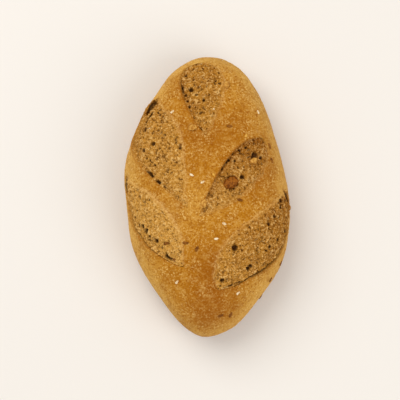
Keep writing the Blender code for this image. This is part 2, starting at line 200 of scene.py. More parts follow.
# Fine relief, which only shows here
SKIN_CELLS = (112, 186, 84)      # of the crust's net, across, along and up
EDGE_PULL = 0.0016               # the net is drawn together this close to a sharp edge
PATCH_CELL = 0.00042             # of the crumb's nets
PATCH_UNDER = (0.0016, 0.0028)   # the crumb runs on under the crust, at the sharp and the soft edge
RECESS = 0.0062                  # the crust's own floor lies this far under the crumb
FRAY = 0.0016                    # how far the soft edges wander
FRAY_LENGTH = 0.006
Grit = namedtuple("Grit", "height length seed")
CRUST_GRIT = (Grit(0.00020, 0.0060, 3), Grit(0.00016, 0.0026, 4))

# The crumb's waves: length, which noise they are, height in mm, share of its tint, which is painted
# highlight on the raised crumb and painted shade in its dips, and whether they are stirred. Its pores:
# spacing, which noise, share of the places that have one, least and most radius, depth and how much
# painted shade they hold.
Wave = namedtuple("Wave", "length seed height tint stirred")
CRUMB_WAVES = (
    Wave(0.0065, 2, 0.9, 0.3, False),
    Wave(0.0026, 6, 1.1, 1.0, True),
    Wave(0.0015, 15, 0.8, 0.8, True),
    Wave(0.0009, 7, 0.35, 0.3, False),
)
Pores = namedtuple("Pores", "spacing seed share least most depth shade")
CRUMB_PORES = (
    Pores(0.0040, 8, 0.30, 0.0006, 0.0013, 0.0012, 0.8),
    Pores(0.0021, 9, 0.30, 0.0004, 0.0007, 0.0007, 0.7),
)
CRUMB_STIR = (0.0030, 0.0011, 6)  # length and reach of the noise that stirs them, and which noise
FLAT_TINT = 0.5                  # the tint of a surface without waves, with neither painted highlight nor painted shade

# Strips beside the edges, each from where and over what width, in mm inwards from its edge
CRUMB_SHARP = (0.0, 0.8)         # here the surface turns from crust to crumb
CRUMB_SOFT = (-0.8, 4.5)
RELIEF_SHARP = (-0.3, 1.5)       # and here its waves and pores grow
RELIEF_SOFT = (-0.5, 4.5)
WALL_START = -0.3
RISE = 0.25                      # the crumb stands this high in mm over its floor from its border inwards
DIP = 1.2                        # and dips this far under the crust outside it
LEVEL_RISE = 0.4                 # it stands this much higher where the lip lies level with it,
LEVEL_REACH = 0.0012             # this far in
RIM_LINE = (0.3, 1.3)            # the dark rim's middle and width, in mm inwards from the sharp edge
RIDGE_LINE = (0.4, 1.1)          # and the pale ridge's, from the soft edge

# How dusty and how dark the bake is. Level is how much the surface looks up.
BLOOM_LEVEL = 0.97               # dust starts below this level and is full this much lower
BLOOM_TURN = 0.42
UNDER_LEVEL = -0.35              # the underside starts here, and has no dust
UNDER_TURN = 0.5
UNDER_BAKE = 0.9
# Patches of dust and of darker bake: place in mm seen from above, reach in mm, amount
BLOOM_SPOTS = ((-22, -14, 16, 0.35), (-3, -8, 12, 0.30), (40, 72, 22, 0.25), (0, 106, 16, 0.5))
BAKE_SPOTS = ((2, -95, 24, 0.75), (6, -58, 18, 0.6), (46, 24, 24, 0.5), (-10, 38, 20, 0.2),
              (10, 44, 24, 0.2), (56, -52, 16, 0.5))


def unit(v):
    return v / np.linalg.norm(v, axis=-1, keepdims=True)


def smooth_step(x):
    x = np.clip(x, 0, 1)
    return x * x * (3 - 2 * x)


def growing(value, start, width):
    """0 to 1 while a value in metres climbs from the start over the width, both in mm."""
    return smooth_step((value - start * MM) / (width * MM))


def line_at(value, middle, width):
    """High where a value in metres is near the middle, in mm."""
    return np.exp(-((value - middle * MM) / (width * MM)) ** 2)


def fading(value, reach):
    """1 at 0, and less as the value grows past its reach."""
    return np.exp(-np.clip(value, 0, None) / reach)


def outline_reach(nx, ny):
    angle = np.degrees(np.arctan2(ny, nx))
    reach = np.ones_like(angle)
    for bulge in BULGES:
        off = (angle - bulge.angle + 180) % 360 - 180
        reach += bulge.amount * np.exp(-(off / bulge.spread) ** 2)
    return reach


def depth_along(nz):
    return np.where(nz > 0, CROWN_RISE, UNDER_DEPTH)


def rounded_floor(z):
    above = z + BASE_OVERLAP
    turn = (above + BASE_ROUND) ** 2 / (4 * BASE_ROUND)
    return np.where(above > BASE_ROUND, above, np.where(above < -BASE_ROUND, 0.0, turn)) - BASE_OVERLAP


def risen_dough(n):
    """Points of the loaf before it was slashed, one for each unit direction."""
    nx, ny, nz = n[..., 0], n[..., 1], n[..., 2]
    spread = nx ** 2 + ny ** 2
    reach = 1 + (outline_reach(nx, ny) - 1) * spread
    swell = 1 + np.where(nz > 0, SHOULDER, HEEL) * 4 * spread * nz ** 2
    x = HALF[0] * nx * reach * swell
    y = HALF[1] * ny * reach * swell
    z = RIM_HEIGHT + depth_along(nz) * nz * swell
    return np.stack([x, y, rounded_floor(z)], axis=-1)


def outward(n):
    nx, ny, nz = n[..., 0], n[..., 1], n[..., 2]
    return unit(np.stack([nx / HALF[0], ny / HALF[1], nz / depth_along(nz)], axis=-1))


def direction_to(place):
    """The unit direction that leads from the loaf's heart to a place in metres."""
    place = np.asarray(place, dtype=float)
    x = place[..., 0] / HALF[0]
    y = place[..., 1] / HALF[1]
    z = (place[..., 2] - RIM_HEIGHT) / depth_along(place[..., 2] - RIM_HEIGHT)
    return unit(np.stack([x, y, z], axis=-1))


def slash_centre(slash):
    """Points, ways and side directions along the middle of a slash."""
    t = np.linspace(0, 1, CENTRE_STEPS + 1)[:, None]
    ends = [direction_to(np.array(p) * MM) for p in (slash.start, slash.middle, slash.end)]
    n = unit((1 - t) * (1 - 2 * t) * ends[0] + 4 * t * (1 - t) * ends[1] + t * (2 * t - 1) * ends[2])
    points = risen_dough(n)
    ways = unit(np.gradient(points, axis=0))
    sides = unit(np.cross(outward(n), ways))
    return points, ways, sides


def slash_place(slash, skin):
    """Where each skin point lies in a slash: along it (0 to 1), metres to the soft side and away, and
    the way to the soft side there."""
    points, ways, sides = slash_centre(slash)
    nearest = np.empty(len(skin), dtype=int)
    for first in range(0, len(skin), PLACE_BLOCK):
        block = skin[first:first + PLACE_BLOCK]
        gaps = ((block[:, None, :] - points[None, :, :]) ** 2).sum(axis=-1)
        nearest[first:first + PLACE_BLOCK] = gaps.argmin(axis=1)
    away = skin - points[nearest]
    step = np.linalg.norm(np.diff(points, axis=0), axis=1).mean()
    along = (nearest + (away * ways[nearest]).sum(axis=1) / step) / CENTRE_STEPS
    side = (away * sides[nearest]).sum(axis=1)
    return np.clip(along, 0, 1), side, np.linalg.norm(away, axis=1), sides[nearest]


def edge_reach(edge, along):
    """Metres from a slash's middle line to one of its edges, at each share of its length."""
    lean = math.log(0.5) / math.log(edge.widest)
    return edge.width * MM * np.sin(np.pi * along ** lean).clip(0, 1) ** edge.blunt


def noise_start(seed, step):
    """Where in space the noise with this number starts."""
    return Vector([seed * part for part in step])


def wavy(points, length, seed):
    """Smooth noise between -1 and 1 at each point."""
    offset = noise_start(seed, WAVE_STEP)
    return np.array([noise.noise(Vector(p) + offset) for p in points / length])


def stirred(points, length, amount, seed):
    """The points shifted about by slow noise, so that what is laid out on them is less even."""
    offset = noise_start(seed, STIR_STEP)
    shift = [noise.noise_vector(Vector(p) / length + offset) for p in points]
    return points + np.array(shift) * amount


def holes(points, spacing, seed, share, least, most):
    """0 to 1, high in round holes with radii from least to most, in a share of the places."""
    offset = noise_start(seed, PORE_STEP)
    depth = np.zeros(len(points))
    for i, p in enumerate(points / spacing):
        gaps, places = noise.voronoi(Vector(p) + offset, distance_metric="DISTANCE")
        if abs(noise.cell(places[0] * PORE_DRAW)) < share:
            size = abs(noise.cell(places[0] * SIZE_DRAW + Vector(SIZE_START)))
            radius = (least + (most - least) * size) / spacing
            depth[i] = max(0.0, min(1.0, PORE_WALL * (1 - gaps[0] / radius)))
    return depth


def linked(name, data):
    thing = bpy.data.objects.new(name, data)
    bpy.context.scene.collection.objects.link(thing)
    return thing


def mesh_object(name, points, faces):
    mesh = bpy.data.meshes.new(name)
    mesh.from_pydata(points.tolist(), [], faces.tolist())
    mesh.validate()
    mesh.shade_smooth()
    return linked(name, mesh)


def paint(thing, name, values):
    layer = thing.data.attributes.new(name, "FLOAT", "POINT")
    layer.data.foreach_set("value", np.asarray(values, dtype=np.float32))


def ball_net(cells):
    """Unit directions and quads of a cube's net pushed out to a ball: cells across, along and up."""
    across, along, up = cells
    points = []
    faces = []
    count = 0
    for axis, (a, b) in ((2, (across, along)), (0, (along, up)), (1, (up, across))):
        for side in (-1, 1):
            u, v = np.meshgrid(np.linspace(-1, 1, a + 1), np.linspace(-1, 1, b + 1), indexing="ij")
            face = np.empty((u.size, 3))
            face[:, axis] = side
            face[:, (axis + 1) % 3] = u.ravel()
            face[:, (axis + 2) % 3] = v.ravel()
            points.append(face)
            corner = (np.arange(a)[:, None] * (b + 1) + np.arange(b)[None, :]).ravel() + count
            quad = np.stack([corner, corner + b + 1, corner + b + 2, corner + 1], axis=1)
            faces.append(quad if side > 0 else quad[:, ::-1])
            count += u.size
    cube = np.vstack(points)
    _, first, place = np.unique(np.round(cube, 6), axis=0, return_index=True, return_inverse=True)
    cube = cube[first]
    faces = place.ravel()[np.vstack(faces)]
    x, y, z = (cube ** 2).T
    ball = cube * np.sqrt(np.stack([
        1 - y / 2 - z / 2 + y * z / 3,
        1 - z / 2 - x / 2 + z * x / 3,
        1 - x / 2 - y / 2 + x * y / 3,
    ], axis=1))
    return unit(ball), faces


def slash_band(slash, along, far):
    """Widths of a slash to both edges, how open it is (0 to 1), and which points are in its reach."""
    sharp = edge_reach(slash.sharp, along)
    soft = edge_reach(slash.soft, along)
    full = (slash.sharp.width + slash.soft.width) * MM
    mouth = (sharp + soft) / full
    return sharp, soft, mouth, (far < full) & (mouth > MOUTH_LIMIT)


def drawn_to_edges(n):
    """The same directions, drawn together along the sharp edges so that these come out crisp."""
    skin = risen_dough(n)
    for slash in SLASHES:
        along, side, far, ways = slash_place(slash, skin)
        sharp, _, _, near = slash_band(slash, along, far)
        inset = side + sharp
        pull = inset * (np.abs(inset) / EDGE_PULL - 1)
        pull = np.where(near & (np.abs(inset) < EDGE_PULL), pull, 0.0)
        skin = risen_dough(direction_to(skin + ways * pull[:, None]))
    return direction_to(skin)


def opening(slash, skin):
    """What the surface makers need to know about one slash, at each skin point."""
    along, side, far, _ = slash_place(slash, skin)
    sharp, soft, mouth, near = slash_band(slash, along, far)
    inset = np.where(near, side + sharp, -1.0)
    outset = np.where(near, soft - side, -1.0)
    across = np.clip(inset / np.where(near, sharp + soft, 1.0), 0, 1)
    floor = slash.depth * (1 - across) ** FLOOR_FALL - slash.swell * np.sin(np.pi * across)
    floor = np.where(near, floor * MM * np.sqrt(mouth), 0.0)
    frayed = outset + FRAY * wavy(skin, FRAY_LENGTH, FRAY_NOISE)
    level = smooth_step((along - slash.flush) / LEVEL_TURN)
    return dict(near=near, mouth=mouth, level=level, pale=slash.ridge, inset=inset, along=along,
                floor=floor, frayed=frayed, wall=smooth_step(inset / WALL_WIDTH),
                border=np.minimum(inset, frayed))


def slash_lip(o):
    lip = LIP_HEIGHT * o["mouth"] * np.exp(-np.abs(o["inset"]) / LIP_SPREAD) * (1 - o["wall"])
    lip = lip * (1 - o["level"])
    return np.where(o["near"], lip, 0.0)


def crumb_share(o):
    """How much the surface looks like crumb, from 0 on the crust to 1 well inside the opening."""
    return growing(o["inset"], *CRUMB_SHARP) * growing(o["frayed"], *CRUMB_SOFT)


def soft_ridge(o):
    """The thin pale ridge that some of the soft edge has."""
    ridge = line_at(o["frayed"], *RIDGE_LINE) * np.sqrt(o["mouth"])
    return np.where(o["near"] & (o["inset"] > 0), ridge * o["pale"], 0.0)


def slot_drop(points):
    """Metres by which the upright slots lower each point, and how much painted shade darkens it in them.
    """
    drop = np.zeros(len(points))
    shade = np.zeros(len(points))
    high = smooth_step((points[:, 2] - RIM_HEIGHT) / SLOT_FADE)
    for slot in SLOTS:
        width = slot.width * MM
        start = np.array(slot.start) * MM
        run = np.array(slot.end) * MM - start
        out = np.array([run[1], -run[0]]) / np.linalg.norm(run)
        share = np.clip((points[:, :2] - start) @ run / (run @ run), 0, 1)
        off = points[:, :2] - start - share[:, None] * run
        gap = np.linalg.norm(off, axis=1) / width
        lip_gap = np.linalg.norm(off - out * SLOT_LIP_OUT * width, axis=1) / (SLOT_LIP_WIDTH * width)
        drop += high * slot.depth * MM * (np.exp(-gap ** 2) - SLOT_LIP * np.exp(-lip_gap ** 2))
        narrow = gap / (SLOT_ENDS + (1 - SLOT_ENDS) * np.sin(np.pi * share))
        shade = np.maximum(shade, high * smooth_step((SLOT_SHADE_EDGE[0] - narrow) / SLOT_SHADE_EDGE[1]))
    return drop, shade


def lumps(skin):
    return LUMP_HEIGHT * wavy(skin, LUMP_LENGTH, LUMP_NOISE)


def base_fade(skin):
    return np.clip((skin[:, 2] - BASE_STILL) / (BASE_FREE - BASE_STILL), 0, 1)


def crust_surface(n):
    """The crust's points, and its masks for colour."""
    skin = risen_dough(n)
    change = lumps(skin)
    crumb = np.zeros(len(n))
    rim = np.zeros(len(n))
    ridge = np.zeros(len(n))
    for slash in SLASHES:
        o = opening(slash, skin)
        change += slash_lip(o) - o["wall"] * o["floor"] - RECESS * smooth_step(o["border"] / WALL_WIDTH)
        crumb = np.maximum(crumb, crumb_share(o))
        near_edge = line_at(o["inset"], *RIM_LINE) * np.sqrt(o["mouth"])
        rim = np.maximum(rim, np.where(o["near"], near_edge, 0.0))
        ridge = np.maximum(ridge, soft_ridge(o))
    grit = sum(g.height * wavy(skin, g.length, g.seed) for g in CRUST_GRIT)
    change += grit * (1 - crumb)
    change *= base_fade(skin)
    points = skin + outward(n) * change[:, None]
    drop, shade = slot_drop(skin)
    points[:, 2] -= drop
    # In the slots the painted shade also turns the crust to crumb colour
    return points, dict(crumb=np.maximum(crumb, shade), rim=rim, ridge=ridge,
                        hollow_shade=SLOT_SHADE * shade)


def spots(points, listed):
    """The sum of the listed soft spots, at each point."""
    total = np.zeros(len(points))
    for x, y, reach, amount in listed:
        gap = (points[:, 0] / MM - x) ** 2 + (points[:, 1] / MM - y) ** 2
        total += amount * np.exp(-gap / reach ** 2)
    return total


def paint_zones(thing, points, n):
    """Masks that say how dusty and how dark the bake is, at each point."""
    level = outward(n)[:, 2]
    bloom = smooth_step((BLOOM_LEVEL - level) / BLOOM_TURN) + spots(points, BLOOM_SPOTS)
    under = smooth_step((UNDER_LEVEL - level) / UNDER_TURN)
    paint(thing, "bloom", np.clip(bloom * (1 - under), 0, 1))
    paint(thing, "bake", np.clip(spots(points, BAKE_SPOTS) + UNDER_BAKE * under, 0, 1))


def build_crust():
    n, faces = ball_net(SKIN_CELLS)
    n = drawn_to_edges(n)
    points, masks = crust_surface(n)
    points[:, 2] = np.maximum(points[:, 2], 0.0)
    crust = mesh_object("loaf_crust", points, faces)
    for name, values in masks.items():
        paint(crust, name, values)
    paint(crust, "relief", np.full(len(points), FLAT_TINT))
    paint(crust, "tone", np.zeros(len(points)))
    paint(crust, "pale", np.zeros(len(points)))
    paint_zones(crust, points, n)
    return crust


def open_cracks(slash, o, skin):
    """Depth of the torn cracks along the sharp edge."""
    depth = np.zeros(len(skin))
    broken = CRACK_SHARE + CRACK_CHANGE * wavy(skin, CRACK_CHANGE_LENGTH, CRACK_NOISE)
    broken = np.clip(broken, 0.0, CRACK_MOST)
    stray = CRACK_STRAY * wavy(skin, CRACK_STRAY_LENGTH, STRAY_NOISE)
    for crack in CRACKS:
        if crack.slash == slash.name:
            ends = smooth_step((o["along"] - crack.low) / CRACK_END)
            ends = ends * smooth_step((crack.high - o["along"]) / CRACK_END)
            groove = line_at(o["inset"] + stray, crack.inset, crack.width)
            depth = np.maximum(depth, crack.depth * MM * ends * groove * broken)
    return depth


def shown_holes(skin):
    """How deep each point lies in the listed holes, in metres, and as a share of the hole, for their
    painted shade.
    """
    depth = np.zeros(len(skin))
    share = np.zeros(len(skin))
    loose = stirred(skin, *HOLE_STIR)
    for x, y, radius in HOLES:
        centre = np.array([x * MM, y * MM, height_over(x * MM, y * MM, HOLE_STEPS)])
        gap = np.linalg.norm((loose - centre) * HOLE_STRETCH, axis=1) / (radius * MM)
        bowl = smooth_step((HOLE_BRIM[0] - gap) / HOLE_BRIM[1])
        depth = np.maximum(depth, bowl * min(radius * HOLE_DEPTH, HOLE_LIMIT) * MM)
        share = np.maximum(share, bowl if radius < BED_RADIUS else BED_SHADE * bowl)
    return depth, share


def crumb_net(slash):
    """Directions over one slash, in rows along it, and the quads between them."""
    centres, _, sides = slash_centre(slash)
    length = np.linalg.norm(np.diff(centres, axis=0), axis=1).sum()
    rows = int(length / PATCH_CELL)
    columns = int((slash.sharp.width + slash.soft.width) * MM / PATCH_CELL)
    t = np.linspace(0, 1, rows)
    u = np.linspace(-1, 1, columns)
    low = np.clip((t * CENTRE_STEPS).astype(int), 0, CENTRE_STEPS - 1)
    share = (t * CENTRE_STEPS - low)[:, None]
    centre = centres[low] * (1 - share) + centres[low + 1] * share
    side = sides[low] * (1 - share) + sides[low + 1] * share
    sharp = edge_reach(slash.sharp, t) + PATCH_UNDER[0]
    soft = edge_reach(slash.soft, t) + PATCH_UNDER[1]
    offset = np.where(u[None, :] < 0, u[None, :] * sharp[:, None], u[None, :] * soft[:, None])
    place = centre[:, None, :] + side[:, None, :] * offset[:, :, None]
    corner = (np.arange(rows - 1)[:, None] * columns + np.arange(columns - 1)[None, :]).ravel()
    faces = np.stack([corner, corner + columns, corner + columns + 1, corner + 1], axis=1)
    return direction_to(place.reshape(-1, 3)), faces


def build_crumb(slash):
    """The torn crumb of one slash, as a net of its own that dips under the crust all round."""
    n, faces = crumb_net(slash)
    skin = risen_dough(n)
    o = opening(slash, skin)
    loose = stirred(skin, *CRUMB_STIR)
    waves = [wavy(loose if w.stirred else skin, w.length, w.seed) for w in CRUMB_WAVES]
    relief = sum(w.height * field for w, field in zip(CRUMB_WAVES, waves))
    tint = sum(w.tint * field for w, field in zip(CRUMB_WAVES, waves))
    pores = [holes(loose, p.spacing, p.seed, p.share, p.least, p.most) for p in CRUMB_PORES]
    pitted = sum(p.depth * field for p, field in zip(CRUMB_PORES, pores))
    named, share = shown_holes(skin)
    crack = open_cracks(slash, o, skin)
    inner = growing(o["inset"], *RELIEF_SHARP) * growing(o["frayed"], *RELIEF_SOFT)
    change = lumps(skin)
    change -= o["floor"] * growing(o["inset"], WALL_START, slash.wall)
    change += inner * (relief * MM - slash.pits * pitted)
    change -= named + crack
    change += LEVEL_RISE * MM * o["level"] * fading(o["inset"], LEVEL_REACH)
    change += RISE * MM * growing(o["border"], 0, 1) - DIP * MM * growing(-o["border"], 0, DIP)
    change *= base_fade(skin)
    points = skin + outward(n) * change[:, None]
    drop, shade = slot_drop(skin)
    points[:, 2] -= drop
    patch = mesh_object("crumb_" + slash.name, points, faces)
    # In the slots the painted shade also turns the surface to crumb colour
    paint(patch, "crumb", np.maximum(crumb_share(o), shade))
    paint(patch, "rim", np.zeros(len(points)))
    paint(patch, "ridge", soft_ridge(o))
    # Painted shade in the cracks, pores, holes and slots
    deep = np.clip(crack / (CRACK_SHADE_DEPTH * MM), 0, 1)
    dark = np.maximum.reduce([p.shade * field for p, field in zip(CRUMB_PORES, pores)])
    dark = dark * inner * slash.pits
    paint(patch, "hollow_shade", np.maximum.reduce([dark, share, deep, SLOT_SHADE * shade]))
    # Painted highlight on the raised crumb and painted shade in its dips, following its waves
    paint(patch, "relief", np.clip(FLAT_TINT + tint / 2, 0, 1))
    # Tone and pale along the slash, partly painted shade and painted light, with more painted shade
    # beside the sharp edge
    tone = slash.tone[0] + (slash.tone[1] - slash.tone[0]) * o["along"]
    paint(patch, "tone", tone + slash.shade * fading(o["inset"], SHADE_REACH))
    paint(patch, "pale", slash.pale[0] + (slash.pale[1] - slash.pale[0]) * o["along"])
    paint_zones(patch, points, n)
    return patch


def linear(colour):
    """A colour given as 0 to 255, in the renderer's own linear scale."""
    return [((c / 255 + 0.055) / 1.055) ** 2.4 for c in colour] + [1.0]


class Shader:
    """A short way to write a material's nodes."""

    def __init__(self, name, roughness, shine=0.5):
        self.material = bpy.data.materials.new(name)
        self.material.use_nodes = True
        self.tree = self.material.node_tree
        self.surface = self.tree.nodes["Principled BSDF"]
        self.surface.inputs["Roughness"].default_value = roughness
        self.surface.inputs["Specular IOR Level"].default_value = shine
        self.place = self.tree.nodes.new("ShaderNodeTexCoord").outputs["Object"]

    def put(self, socket, value):
        if isinstance(value, bpy.types.NodeSocket):
            self.tree.links.new(value, socket)
        elif value is not None:
            socket.default_value = value

    def mask(self, name):
        node = self.tree.nodes.new("ShaderNodeAttribute")
        node.attribute_name = name
        return node.outputs["Fac"]

    def noise(self, length, detail=2.0, roughness=0.5):
        node = self.tree.nodes.new("ShaderNodeTexNoise")
        self.put(node.inputs["Vector"], self.place)
        node.inputs["Scale"].default_value = 1 / length
        node.inputs["Detail"].default_value = detail
        node.inputs["Roughness"].default_value = roughness
        return node.outputs["Fac"]

    def cells(self, length):
        node = self.tree.nodes.new("ShaderNodeTexVoronoi")
        self.put(node.inputs["Vector"], self.place)
        node.inputs["Scale"].default_value = 1 / length
        return node.outputs["Distance"]

    def between(self, value, low, high, to_low=0.0, to_high=1.0):
        node = self.tree.nodes.new("ShaderNodeMapRange")
        node.interpolation_type = "SMOOTHSTEP"
        for socket, v in zip(node.inputs, (value, low, high, to_low, to_high)):
            self.put(socket, v)
        return node.outputs["Result"]

    def maths(self, operation, a, b):
        node = self.tree.nodes.new("ShaderNodeMath")
        node.operation = operation
        self.put(node.inputs[0], a)
        self.put(node.inputs[1], b)
        return node.outputs["Value"]

    def times(self, a, b):
        return self.maths("MULTIPLY", a, b)

    def mix(self, share, a, b):
        node = self.tree.nodes.new("ShaderNodeMix")
        node.data_type = "RGBA"
        colours = [s for s in node.inputs if s.type == "RGBA"]
        self.put(node.inputs["Factor"], share)
        self.put(colours[0], linear(a) if isinstance(a, tuple) else a)
        self.put(colours[1], linear(b) if isinstance(b, tuple) else b)
        return [s for s in node.outputs if s.type == "RGBA"][0]

    def bump(self, height, distance, strength):
        node = self.tree.nodes.new("ShaderNodeBump")
        node.inputs["Strength"].default_value = strength
        node.inputs["Distance"].default_value = distance
        self.put(node.inputs["Height"], height)
        return node.outputs["Normal"]

    def finish(self, colour, normal=None):
        self.put(self.surface.inputs["Base Color"], colour)
        self.put(self.surface.inputs["Normal"], normal)
        return self.material


CRUST_DEEP = (146, 80, 6)
CRUST_GOLD = (182, 119, 22)
CRUST_PALE = (212, 161, 74)
CRUST_DUST = (234, 194, 118)
CRUST_RIM = (150, 82, 14)
# The crumb's dark specks, and its painted shade in dips, pores, holes, cracks and slots
CRUMB_DARK_AND_SHADE = (54, 24, 2)
CRUMB_BROWN = (136, 78, 10)
CRUMB_TAN = (192, 132, 41)
CRUMB_PALE = (216, 165, 80)
# The crumb's light specks and pale soft ridge, and painted highlight on its raised crumb
CRUMB_LIGHT_AND_HIGHLIGHT = (240, 198, 126)


# Noises that tint the bread: length, detail, roughness
BREAD_NOISES = {
    "broad": (0.024, 3.0, 0.5),
    "dusty": (0.011, 2.0, 0.5),
    "patch": (0.0075, 3.0, 0.6),
    "fleck": (0.0042, 1.0, 0.5),
    "mottle": (0.0034, 3.0, 0.6),
    "speck": (0.0014, 3.0, 0.7),
    "grain": (0.0013, 3.0, 0.7),
    "rough": (0.0010, 3.0, 0.6),
}
# Tints laid over one another: the noise, where it begins and is full, how much of the colour at most
Tint = namedtuple("Tint", "noise low high most colour")
CRUST_TINTS = (
    Tint("broad", 0.42, 0.68, 0.30, CRUST_DEEP),
    Tint("patch", 0.50, 0.70, 0.30, CRUST_PALE),
    Tint("patch", 0.48, 0.32, 0.30, CRUST_DEEP),
    Tint("mottle", 0.52, 0.70, 0.25, CRUST_DUST),
    Tint("mottle", 0.46, 0.32, 0.40, CRUST_DEEP),
)
CRUST_SPECKS = (
    Tint("speck", 0.53, 0.66, 1.0, CRUST_DUST),
    Tint("speck", 0.47, 0.32, 0.95, CRUST_DEEP),
)
# The relief tints are painted highlight on the raised crumb and painted shade in its dips; the grain
# tints are specks of its own colour
CRUMB_TINTS = (
    Tint("relief", 0.58, 0.92, 0.50, CRUMB_LIGHT_AND_HIGHLIGHT),
    Tint("relief", 0.40, 0.08, 0.65, CRUMB_DARK_AND_SHADE),
    Tint("grain", 0.54, 0.66, 0.80, CRUMB_LIGHT_AND_HIGHLIGHT),
    Tint("grain", 0.46, 0.31, 0.85, CRUMB_DARK_AND_SHADE),
)
# From, to, and the share at each of these
DUSTY_SHARE = (0.38, 0.62, 0.25, 0.80)     # of the light specks, by the dusty noise
CALM_SHARE = (0.5, 1.0, 1.0, 0.45)         # of the dark specks, by the bloom
DIM_SHARE = (0.2, 1.4, 1.0, 0.60)          # of the light specks and painted highlight in the crumb, by its tone and painted shade
RIM_SHARE = (0.35, 0.60, 0.75, 0.35)       # of the rim's colour, by the speck noise
RIDGE_SHARE = (0.38, 0.62, 0.15, 0.6)      # of the ridge's colour, by the speck noise
FLECK_SHARE = (0.50, 0.60, 0.0, 0.3)       # of the flecks, by the fleck noise
FLECK_CELL = 0.0021
FLECK_SIZE = (0.42, 0.20)                  # a fleck fades in from here to here, in cells
BAKE_DEPTH = 0.35                          # how much of the deep colour darker bake adds at the end
CRUMB_PATCH = (0.36, 0.66, 0.0, 0.50)      # of the brown in the crumb, by the patch noise
# How far tone, partly painted shade, darkens the crumb
TONE_AND_SHADE_DEPTH = 0.60
# How dark the painted shade in pores, holes, cracks and slots is at most
HOLLOW_SHADE_DEPTH = 0.92
ROUGH_SHARE = 0.6                          # of the finest noise in the bump
BREAD_BUMP = (0.0006, 0.8)


def tint_share(s, noises, tint):
    return s.between(noises[tint.noise], tint.low, tint.high, 0.0, tint.most)


def crust_colour(s, noises):
    fleck = s.between(s.cells(FLECK_CELL), *FLECK_SIZE)
    crust = s.mix(s.mask("bake"), CRUST_GOLD, CRUST_DEEP)
    crust = s.mix(s.mask("bloom"), crust, CRUST_PALE)
    for tint in CRUST_TINTS:
        crust = s.mix(tint_share(s, noises, tint), crust, tint.colour)
    shares = (s.between(noises["dusty"], *DUSTY_SHARE), s.between(s.mask("bloom"), *CALM_SHARE))
    for tint, share in zip(CRUST_SPECKS, shares):
        crust = s.mix(s.times(tint_share(s, noises, tint), share), crust, tint.colour)
    crust = s.mix(s.times(fleck, s.between(noises["fleck"], *FLECK_SHARE)), crust, CRUST_DUST)
    crust = s.mix(s.times(s.mask("bake"), BAKE_DEPTH), crust, CRUST_DEEP)
    return s.mix(s.times(s.mask("rim"), s.between(noises["speck"], *RIM_SHARE)), crust, CRUST_RIM)


def crumb_colour(s, noises):
    crumb = s.mix(s.between(noises["patch"], *CRUMB_PATCH), CRUMB_TAN, CRUMB_BROWN)
    # Pale and tone, partly the crumb's own colour and partly painted light and painted shade; tone also
    # holds the painted shade beside the sharp edge
    crumb = s.mix(s.mask("pale"), crumb, CRUMB_PALE)
    crumb = s.mix(s.times(s.mask("tone"), TONE_AND_SHADE_DEPTH), crumb, CRUMB_BROWN)
    dim = s.between(s.mask("tone"), *DIM_SHARE)
    for tint in CRUMB_TINTS:
        share = tint_share(s, noises, tint)
        if tint.colour == CRUMB_LIGHT_AND_HIGHLIGHT:
            share = s.times(share, dim)
        crumb = s.mix(share, crumb, tint.colour)
    # Painted shade in the pores, holes, cracks and slots
    return s.mix(s.times(s.mask("hollow_shade"), HOLLOW_SHADE_DEPTH), crumb, CRUMB_DARK_AND_SHADE)


def bread_material():
    """Crust that turns into torn crumb where the crumb mask says so."""
    s = Shader("bread", roughness=0.65, shine=0.05)
    noises = {name: s.noise(*numbers) for name, numbers in BREAD_NOISES.items()}
    noises["relief"] = s.mask("relief")
    colour = s.mix(s.mask("crumb"), crust_colour(s, noises), crumb_colour(s, noises))
    ridge = s.times(s.mask("ridge"), s.between(noises["speck"], *RIDGE_SHARE))
    colour = s.mix(ridge, colour, CRUMB_LIGHT_AND_HIGHLIGHT)
    rough = s.maths("ADD", noises["mottle"], s.times(noises["rough"], ROUGH_SHARE))
    return s.finish(colour, s.bump(rough, *BREAD_BUMP))


# The seeds and the raisin, placed as the solids have them
Grain = namedtuple("Grain", "size taper")
GRAINS = {
    "sesame": Grain((0.0034, 0.0021, 0.0011), 0.35),
    "flax": Grain((0.0048, 0.0025, 0.0013), 0.25),
    "nut": Grain((0.0062, 0.0048, 0.0030), 0.05),
    "flake": Grain((0.0034, 0.0021, 0.0011), 0.35),
}
GRAIN_RISE = 0.15
GRAIN_SEGMENTS = 20
GRAIN_RINGS = 14
GRAIN_LUMPS = 3.5                # how fine a grain's lumps are
GRAIN_CHANGE = 900.0             # how much they differ from one place to the next
SEED_ROUGH = 0.10
NUT_ROUGH = 0.45
SHOWN_GRAINS = (
    ("nut", 14.4, 82.7, 70), ("nut", 35.4, 22.6, 20), ("nut", -3.2, -11.0, 60),
    ("nut", -11.9, 47.5, 15),
    ("sesame", -27.5, 61.2, 30), ("sesame", 39.1, 62.4, -70), ("sesame", 4.2, 62.5, 80),
    ("sesame", -43.8, 48.4, 10), ("sesame", -12.4, 10.9, -30), ("sesame", -4.2, 5.3, 30),
    ("sesame", 12.2, -26.0, -20), ("sesame", 6.2, -37.2, 10), ("sesame", 22.9, -78.0, 40),
    ("flake", 29.1, 42.3, 60), ("flake", 4.2, 10.8, -50), ("sesame", -24.0, -70.4, 50),
    ("flax", -16.9, -40.6, 0), ("flax", -8.5, -44.7, 60), ("flax", 24.1, -7.9, -10),
    ("flax", 9.5, -94.4, 20), ("flax", 17.1, -93.8, 70), ("flax", 16.4, 48.9, 0),
    ("flax", 47.8, 35.8, -65), ("flax", 49.5, 24.1, -60), ("flax", -31.5, -40.9, 15),
    ("flax", -24.9, -53.7, -30), ("flax", 56.1, -53.5, 62), ("flax", 48.3, -66.6, 66),
)
FLANK_GRAINS = 26
FLANK_SEED = 11
FLANK_CLEAR = 0.011
FLANK_BAND = (-0.55, 0.0)
FLANK_KINDS = ("sesame", "sesame", "flax")
